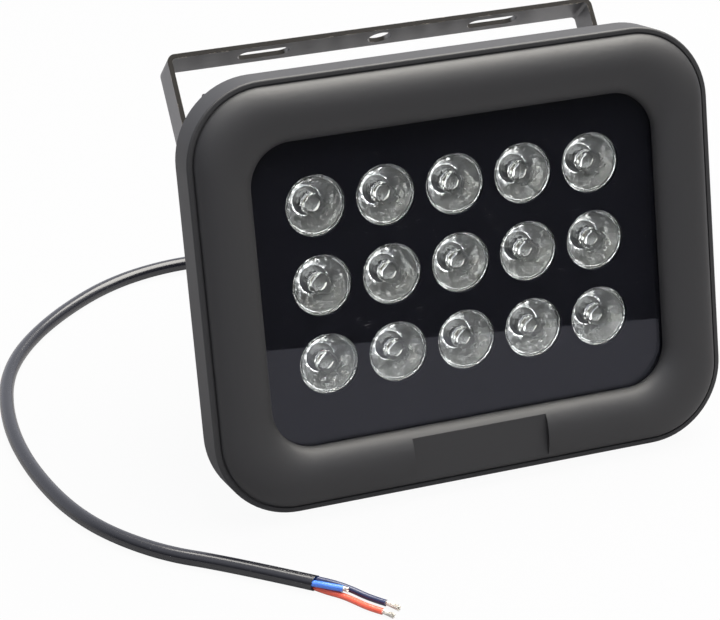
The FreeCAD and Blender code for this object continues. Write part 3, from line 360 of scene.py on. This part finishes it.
cable_pieces = [mouth]
for name, route in CORE_ROUTES.items():
    core = tubes(f"core_{name}_sleeve", [millimetres(route)], CORE_DIAMETER / 2)
    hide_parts(f"core_{name}")
    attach(core, "lamp")
    core.data.materials.append(moulded_pvc(f"{name}_pvc_core", CORE_COLOURS[name], 0.3))
    begin, end = millimetres(TIP_ROUTES[name])
    way = (end - begin).normalized()
    side = way.cross(Vector((0, 0, 1))).normalized()
    upward = side.cross(way)
    strands = []
    for index in range(STRANDS):
        reach = BUNDLE_RADIUS * math.sqrt(index / (STRANDS - 1))
        turn = index * GOLDEN_ANGLE
        off = side * math.cos(turn) + upward * math.sin(turn)
        later = side * math.cos(turn + STRAND_TWIST) + upward * math.sin(turn + STRAND_TWIST)
        root = begin - way * STRAND_STEP
        cut = end - way * STRAND_STEP * (index % 3)
        strands.append((root + off * reach, begin.lerp(end, STRAND_MIDDLE) + later * reach,
                        cut + later * reach * SPLAY))
    tip = tubes(f"tip_{name}_strands", strands, STRAND_DIAMETER / 2)
    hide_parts(f"tip_{name}")
    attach(tip, "lamp")
    tip.data.materials.append(tinned_copper)
    cable_pieces += [core, tip]


# Bezel
# One moulding of matt black plastic with a fine eroded grain: it scatters light into soft pale crests. The
# window lies in it from behind.
GRAIN_SIZE = 0.35


def dress(names, material):
    """Give CAD nodes a material."""
    for name in names:
        nodes[name].data.materials.clear()
        nodes[name].data.materials.append(material)


material, tree = new_material("moulded_black_plastic")
place = add(tree, "ShaderNodeTexCoord").outputs["Object"]
grain = add(tree, "ShaderNodeTexNoise", {"Vector": place, "Scale": scale_for(GRAIN_SIZE), "Detail": 2.0})
bump = add(tree, "ShaderNodeBump", {"Height": grain.outputs["Fac"], "Strength": 0.25, "Distance": 0.00006})
cloud = add(tree, "ShaderNodeTexNoise", {"Vector": place, "Scale": scale_for(16.67), "Detail": 4.0})
dull = add(tree, "ShaderNodeMapRange", {"Value": cloud.outputs["Fac"], "To Min": 0.55, "To Max": 0.61})
surface = add(tree, "ShaderNodeBsdfPrincipled", {"Base Color": colour("#18181A"),
                                                "Normal": bump.outputs["Normal"],
                                                "Roughness": dull.outputs[0], "Specular IOR Level": 0.8})
add(tree, "ShaderNodeOutputMaterial", {"Surface": surface.outputs["BSDF"]})
dress(["front_bezel"], material)

# Window
# Clear toughened glass over a satin black sheet with fifteen round openings, on a thin rubber gasket. The
# glass has a few specks of dust and short wiping scratches, whose sizes are in millimetres.
DUST_CELL = 6
DUST_RADIUS = 0.22
SCRATCH_LENGTH = 4
SCRATCH_WIDTH = 0.25
SCRATCH_SLOPE = math.radians(8)
material, tree = new_material("toughened_glass")
surface = add(tree, "ShaderNodeBsdfPrincipled", {"Base Color": colour("#FBFDFC"), "Roughness": 0.0,
                                                "IOR": 1.5, "Transmission Weight": 1.0})
place = add(tree, "ShaderNodeTexCoord").outputs["Object"]
cells = add(tree, "ShaderNodeTexVoronoi", {"Vector": place, "Scale": scale_for(DUST_CELL)})
specks = add(tree, "ShaderNodeMapRange", {"Value": cells.outputs["Distance"], "From Min": 0.0,
                                          "From Max": DUST_RADIUS / DUST_CELL, "To Min": 0.5, "To Max": 0.0})
along = add(tree, "ShaderNodeMapping", {"Vector": place, "Rotation": (0, SCRATCH_SLOPE, 0),
                                        "Scale": (scale_for(SCRATCH_LENGTH), 1.0, scale_for(SCRATCH_WIDTH))})
streaks = add(tree, "ShaderNodeTexNoise", {"Vector": along.outputs[0], "Scale": 1.0, "Detail": 0.0})
scratches = add(tree, "ShaderNodeMapRange", {"Value": streaks.outputs["Fac"], "From Min": 0.80,
                                             "From Max": 0.86, "To Min": 0.0, "To Max": 0.25})
marks = add(tree, "ShaderNodeMath", {0: specks.outputs[0], 1: scratches.outputs[0]}, operation="MAXIMUM")
dust = add(tree, "ShaderNodeBsdfDiffuse", {"Color": colour("#8A8A90")})
marked = add(tree, "ShaderNodeMixShader", {0: marks.outputs[0], 1: surface.outputs["BSDF"],
                                           2: dust.outputs[0]})
passing = add(tree, "ShaderNodeBsdfTransparent", {"Color": colour("#F4F6F5")})
shadow = add(tree, "ShaderNodeLightPath").outputs["Is Shadow Ray"]
both = add(tree, "ShaderNodeMixShader", {0: shadow, 1: marked.outputs[0], 2: passing.outputs[0]})
add(tree, "ShaderNodeOutputMaterial", {"Surface": both.outputs[0]})
dress(["front_glass"], material)

material, tree = new_material("satin_black_sheet")
place = add(tree, "ShaderNodeTexCoord").outputs["Object"]
cloud = add(tree, "ShaderNodeTexNoise", {"Vector": place, "Scale": scale_for(12.5), "Detail": 3.0})
dull = add(tree, "ShaderNodeMapRange", {"Value": cloud.outputs["Fac"], "To Min": 0.50, "To Max": 0.60})
surface = add(tree, "ShaderNodeBsdfPrincipled", {"Base Color": colour("#0A0A13"),
                                                "Roughness": dull.outputs[0], "Specular IOR Level": 0.1})
add(tree, "ShaderNodeOutputMaterial", {"Surface": surface.outputs["BSDF"]})
dress(["lens_plate"], material)


def finish(name, code, roughness, metallic=0.0):
    """Make a plain finish that varies a little in roughness."""
    material, tree = new_material(name)
    place = add(tree, "ShaderNodeTexCoord").outputs["Object"]
    cloud = add(tree, "ShaderNodeTexNoise", {"Vector": place, "Scale": scale_for(1.111), "Detail": 3.0})
    dull = add(tree, "ShaderNodeMapRange", {"Value": cloud.outputs["Fac"], "To Min": roughness * 0.8,
                                            "To Max": roughness * 1.2})
    surface = add(tree, "ShaderNodeBsdfPrincipled", {"Base Color": colour(code), "Roughness": dull.outputs[0],
                                                    "Metallic": metallic})
    add(tree, "ShaderNodeOutputMaterial", {"Surface": surface.outputs["BSDF"]})
    return material


dress(["glass_gasket", "housing_seal", "gland_seal", "gland_washer"], finish("black_rubber", "#141414", 0.8))

# Lenses
# Fifteen moulded clear acrylic collimators, each a flange over a fluted bowl that mirrors the light inside,
# with a cavity in its foot that magnifies the emitter. They sit between the black sheet and the board.
LENS_STEPS = 96
LENS_FLUTES = 30
LENS_FLUTE_DEPTH = 0.0035
CAVITY_FACETS = 12
CAVITY_FACET_DEPTH = 0.02
# Radius and depth behind the front face, in millimetres, from the axis round the outside and back.
LENS_PROFILE = [(0, 1.3), (1.0, 1.4), (1.9, 1.75), (2.6, 2.4), (2.9, 2.4), (3.3, 0.15), (3.6, 0), (8.9, 0),
                (9.1, 0.25), (9.3, 0), (9.75, 0), (9.95, 0.2), (10.8, 0.2), (10.8, 1.0), (10.2, 1.1),
                (10.0, 1.6), (9.7, 2.4), (9.3, 3.5), (8.8, 4.8), (8.2, 6.1), (7.5, 7.5), (6.8, 8.8),
                (6.0, 10.2), (5.2, 11.4), (4.3, 11.4), (4.1, 5.4), (3.9, 5.3), (3.2, 5.9), (2.4, 6.35),
                (1.2, 6.6), (0, 6.7)]
BOWL_START = 0.0015
BOWL_RADIUS = 0.005
CAVITY_TOP = 0.005
CAVITY_RADIUS = 0.002
SAME_PLACE = 0.000002
SHARP_EDGE = math.radians(40)


def lathe(name, profile):
    """Turn a profile of radius and depth pairs, in millimetres, about an axis that points out of the lamp."""
    bm = bmesh.new()
    verts = [bm.verts.new((r / 1000, 0, -z / 1000)) for r, z in profile]
    edges = [bm.edges.new(pair) for pair in zip(verts, verts[1:])]
    bmesh.ops.spin(bm, geom=verts + edges, cent=(0, 0, 0), axis=(0, 0, 1), angle=2 * math.pi,
                   steps=LENS_STEPS, use_merge=True)
    bmesh.ops.remove_doubles(bm, verts=bm.verts, dist=SAME_PLACE)
    bmesh.ops.recalc_face_normals(bm, faces=bm.faces)
    thing = solid(name, bm)
    thing.data.shade_smooth()
    return thing


def sharpen(thing):
    """Mark the edges where faces meet at more than a small angle, so that the rest shade smooth."""
    bm = bmesh.new()
    bm.from_mesh(thing.data)
    for edge in bm.edges:
        if len(edge.link_faces) == 2 and edge.calc_face_angle() > SHARP_EDGE:
            edge.smooth = False
    bm.to_mesh(thing.data)
    bm.free()


def lamp_box(node):
    """Give a CAD node's lowest and highest corners in the lamp's own frame."""
    back = LAMP.inverted()
    places = [back @ v.co for v in nodes[node].data.vertices]
    low = Vector([min(p[i] for p in places) for i in range(3)])
    high = Vector([max(p[i] for p in places) for i in range(3)])
    return low, high


def clear_finish(name, code, ior, roughness, flow_size, flow_strength, clear=1.0):
    """Make a see-through finish with slight flow marks, which lets light pass to what is behind."""
    material, tree = new_material(name)
    place = add(tree, "ShaderNodeTexCoord").outputs["Object"]
    flow = add(tree, "ShaderNodeTexNoise", {"Vector": place, "Scale": scale_for(flow_size), "Detail": 2.0})
    bump = add(tree, "ShaderNodeBump", {"Height": flow.outputs["Fac"], "Strength": flow_strength,
                                        "Distance": 0.0004})
    surface = add(tree, "ShaderNodeBsdfPrincipled", {"Base Color": colour(code), "Roughness": roughness,
                                                    "IOR": ior, "Transmission Weight": clear,
                                                    "Normal": bump.outputs["Normal"]})
    passing = add(tree, "ShaderNodeBsdfTransparent", {"Color": colour("#F8F8F8")})
    shadow = add(tree, "ShaderNodeLightPath").outputs["Is Shadow Ray"]
    both = add(tree, "ShaderNodeMixShader", {0: shadow, 1: surface.outputs["BSDF"], 2: passing.outputs[0]})
    add(tree, "ShaderNodeOutputMaterial", {"Surface": both.outputs[0]})
    return material


acrylic = clear_finish("clear_acrylic", "#FFFFFF", 1.49, 0.04, 1.667, 0.05)
satin_acrylic = clear_finish("satin_acrylic", "#FFFFFF", 1.49, 0.06, 2.857, 0.8, clear=0.90)

lens_nodes = sorted(n for n in nodes if n.startswith("lens_") and n != "lens_plate")
for number, node in enumerate(lens_nodes, 1):
    low, high = lamp_box(node)
    middle = Vector(((low.x + high.x) / 2, (low.y + high.y) / 2, high.z))
    lens = lathe(f"collimator_{number:02d}", LENS_PROFILE)
    for vert in lens.data.vertices:
        if vert.co.z < -BOWL_START and vert.co.xy.length > BOWL_RADIUS:
            count, depth = LENS_FLUTES, LENS_FLUTE_DEPTH
        elif vert.co.z < -CAVITY_TOP and vert.co.xy.length > CAVITY_RADIUS:
            count, depth = CAVITY_FACETS, CAVITY_FACET_DEPTH
        else:
            continue
        swell = 1 + depth * math.cos(count * math.atan2(vert.co.y, vert.co.x))
        vert.co.x *= swell
        vert.co.y *= swell
    sharpen(lens)
    lens.data.materials.append(acrylic)
    lens.data.materials.append(satin_acrylic)
    for face in lens.data.polygons:
        if face.center.z < -BOWL_START and face.center.xy.length > BOWL_RADIUS:
            face.material_index = 1
    lens.data.transform(LAMP @ Matrix.Translation(middle))
    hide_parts(node)
    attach(lens, "lamp")

# Emitters
# Each is a dark ceramic base with a plated ring round the chip, under a clear silicone dome, and is
# soldered to the black board.
EMITTER_SIDE = 0.005
EMITTER_BASE = 0.0012
EMITTER_DOME = 0.0015
EMITTER_RING = 0.00165
EMITTER_CHIP = 0.0011
CHIP_THICKNESS = 0.0002
CERAMIC_EDGE = 0.00015
RING_RISE = 0.00001
DOME_RISE = 0.00002

ceramic = finish("dark_ceramic", "#2E2E2C", 0.35)
plating = finish("silver_plating", "#D9D9D4", 0.2, 1.0)
chip_face = finish("emitter_chip", "#5A5448", 0.25, 0.6)
silicone = clear_finish("clear_silicone", "#FFFFFF", 1.42, 0.03, 1.111, 0.03)

for node in sorted(n for n in nodes if n.startswith("led_") and n[4:].isdigit()):
    low, high = lamp_box(node)
    middle = Vector(((low.x + high.x) / 2, (low.y + high.y) / 2, low.z))
    bm = bmesh.new()
    base = bmesh.ops.create_cube(bm, size=1, matrix=Matrix.Translation((0, 0, EMITTER_BASE / 2))
                                 @ Matrix.Diagonal((EMITTER_SIDE, EMITTER_SIDE, EMITTER_BASE, 1)))
    edges = list({edge for vert in base["verts"] for edge in vert.link_edges})
    bmesh.ops.bevel(bm, geom=edges, offset=CERAMIC_EDGE, offset_type="OFFSET", segments=2, profile=0.5,
                    affect="EDGES", material=-1)
    disc = bmesh.ops.create_circle(bm, segments=32, radius=EMITTER_RING, cap_ends=True,
                                   matrix=Matrix.Translation((0, 0, EMITTER_BASE + RING_RISE)))
    disc["verts"][0].link_faces[0].material_index = 1
    chip_middle = Matrix.Translation((0, 0, EMITTER_BASE + CHIP_THICKNESS / 2))
    chip = bmesh.ops.create_cube(bm, size=1, matrix=chip_middle
                                 @ Matrix.Diagonal((EMITTER_CHIP, EMITTER_CHIP, CHIP_THICKNESS, 1)))
    for face in {face for vert in chip["verts"] for face in vert.link_faces}:
        face.material_index = 2
    ball = bmesh.ops.create_uvsphere(bm, u_segments=32, v_segments=16, radius=EMITTER_DOME,
                                     matrix=Matrix.Translation((0, 0, EMITTER_BASE + DOME_RISE)))
    under = [vert for vert in ball["verts"] if vert.co.z < EMITTER_BASE]
    for face in {face for vert in ball["verts"] for face in vert.link_faces}:
        face.material_index = 3
        face.smooth = True
    bmesh.ops.delete(bm, geom=under, context="VERTS")
    bmesh.ops.transform(bm, matrix=LAMP @ Matrix.Translation(middle), verts=bm.verts)
    emitter = solid(f"emitter_{node[4:]}", bm)
    for material in (ceramic, plating, chip_face, silicone):
        emitter.data.materials.append(material)
    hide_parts(node)
    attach(emitter, "lamp")

dress(["led_board"], finish("black_solder_mask", "#1E1F21", 0.35))

# Housing
# Die-cast aluminium with a fine black powder coat, finned behind. Handling has rubbed the coat off a few
# sharp edges.
BARE_EDGE = 0.00025
EDGE_TURN = (0.97, 0.80)
CHIP_LEVEL = (0.60, 0.66)
CHIP_WEAR = 0.12
# Faces turned the given way are sheared edges: rough, with less sheen, and darker in colour as painted shade.
CUT_FACING = (0.6, 0.8)
CUT_ROUGHNESS = 0.85
CUT_GLOSS = 0.4


def coated(name, code, roughness, peel, bare, wear, cut_and_shaded_facing=(0, 0, 0), cut_shade_colour="#000000", gloss=0.5):
    """Make a painted finish: orange peel of a size in millimetres, a cloudy sheen, and chips along the edges.

    Faces that look either way along a given direction are rough, as sheared steel is, and darker with
    less sheen: the darker colour is painted shade."""
    material, tree = new_material(name)
    frame_of_piece = add(tree, "ShaderNodeTexCoord")
    place = frame_of_piece.outputs["Object"]
    skin = add(tree, "ShaderNodeTexNoise", {"Vector": place, "Scale": scale_for(peel), "Detail": 3.0})
    bump = add(tree, "ShaderNodeBump", {"Height": skin.outputs["Fac"], "Strength": 0.3, "Distance": 0.0001})
    cloud = add(tree, "ShaderNodeTexNoise", {"Vector": place, "Scale": scale_for(22.22), "Detail": 5.0})
    dull = add(tree, "ShaderNodeMapRange", {"Value": cloud.outputs["Fac"], "To Min": roughness * 0.88,
                                            "To Max": roughness * 1.15})
    facing = add(tree, "ShaderNodeVectorMath", {0: frame_of_piece.outputs["Normal"], 1: cut_and_shaded_facing},
                 operation="DOT_PRODUCT")
    either_way = add(tree, "ShaderNodeMath", {0: facing.outputs["Value"]}, operation="ABSOLUTE")
    cut = add(tree, "ShaderNodeMapRange", {"Value": either_way.outputs[0], "From Min": CUT_FACING[0],
                                           "From Max": CUT_FACING[1]})
    rough = add(tree, "ShaderNodeMath", {0: cut.outputs[0], 1: CUT_ROUGHNESS}, operation="MULTIPLY")
    dull = add(tree, "ShaderNodeMath", {0: dull.outputs[0], 1: rough.outputs[0]}, operation="MAXIMUM")
    rounded = add(tree, "ShaderNodeBevel", {"Radius": BARE_EDGE}, samples=4)
    flat = add(tree, "ShaderNodeNewGeometry")
    turn = add(tree, "ShaderNodeVectorMath", {0: rounded.outputs[0], 1: flat.outputs["Normal"]},
               operation="DOT_PRODUCT")
    edge = add(tree, "ShaderNodeMapRange", {"Value": turn.outputs["Value"], "From Min": EDGE_TURN[0],
                                            "From Max": EDGE_TURN[1]})
    chips = add(tree, "ShaderNodeTexNoise", {"Vector": place, "Scale": scale_for(3.846), "Detail": 6.0,
                                             "Roughness": 0.7})
    chipped = add(tree, "ShaderNodeMapRange", {"Value": chips.outputs["Fac"],
                                               "From Min": CHIP_LEVEL[0] - CHIP_WEAR * wear,
                                               "From Max": CHIP_LEVEL[1] - CHIP_WEAR * wear})
    worn = add(tree, "ShaderNodeMath", {0: edge.outputs[0], 1: chipped.outputs[0]}, operation="MULTIPLY")
    shade = add(tree, "ShaderNodeMapRange", {"Value": cloud.outputs["Fac"], "To Min": 0.94, "To Max": 1.06})
    paint = add(tree, "ShaderNodeVectorMath", {0: colour(code)[:3], "Scale": shade.outputs[0]},
                operation="SCALE")
    # The darker colour on faces turned the given way is painted shade over the real sheared edge.
    paint = add(tree, "ShaderNodeMixRGB", {0: cut.outputs[0], 1: paint.outputs[0], 2: colour(cut_shade_colour)})
    tone = add(tree, "ShaderNodeMixRGB", {0: worn.outputs[0], 1: paint.outputs[0], 2: colour(bare)})
    shine = add(tree, "ShaderNodeMapRange", {"Value": cut.outputs[0], "To Min": gloss, "To Max": CUT_GLOSS})
    surface = add(tree, "ShaderNodeBsdfPrincipled", {"Base Color": tone.outputs[0],
                                                    "Roughness": dull.outputs[0],
                                                    "Specular IOR Level": shine.outputs[0],
                                                    "Normal": bump.outputs["Normal"]})
    add(tree, "ShaderNodeOutputMaterial", {"Surface": surface.outputs["BSDF"]})
    return material


dress(["rear_housing"], coated("black_powder_coat", "#262627", 0.5, 0.6, "#9C9A97", 0.6))

# Driver
# A green board with a copper coil and an aluminium can, inside the closed housing, and the leads from it to
# the emitters' board. None of it shows from outside.
dress(["driver_board"], finish("green_solder_mask", "#1F5A35", 0.4))
dress(["driver_coil"], finish("enamelled_copper", "#8E4A20", 0.3, 0.7))
dress(["driver_capacitor"], finish("aluminium_can", "#B9BBBE", 0.35, 1.0))
dress(["led_leads"], finish("red_pvc_lead", "#B3261E", 0.4))

# Bracket
# A steel strap, slotted, folded and painted satin grey. Its sheared edges are rough and chipped, and those
# along the crossbar are painted darker as shade. Two socket bolts hold it.
# The crossbar's long edges face this way. They are rough, and painted darker as shade.
across_bar = [face for face in nodes["bracket"].data.polygons if abs(face.normal.x) < 0.01]
broad = max(across_bar, key=lambda face: face.area).normal
dress(["bracket"], coated("satin_grey_paint", "#6C6C6E", 0.42, 0.9, "#A39C92", 0.5,
                         cut_and_shaded_facing=broad.cross((1, 0, 0)), cut_shade_colour="#14110E", gloss=1.0))

# Fasteners
# Zinc-plated steel, bright and slightly clouded: the two pivot bolts with their washers, and the screws of
# the bezel and of both boards.
dress(["pivot_bolts", "pivot_washers", "spring_washers", "bezel_screws", "board_screws", "driver_screws"],
      finish("zinc_plated_steel", "#B8B8B8", 0.3, 1.0))

# Gland
# Body and domed nut moulded in black nylon, which has a soft sheen. The nut squeezes the rubber seal onto the
# cable where it leaves the back of the housing.
dress(["gland_body", "gland_nut"], finish("black_nylon", "#1B1B1C", 0.45))
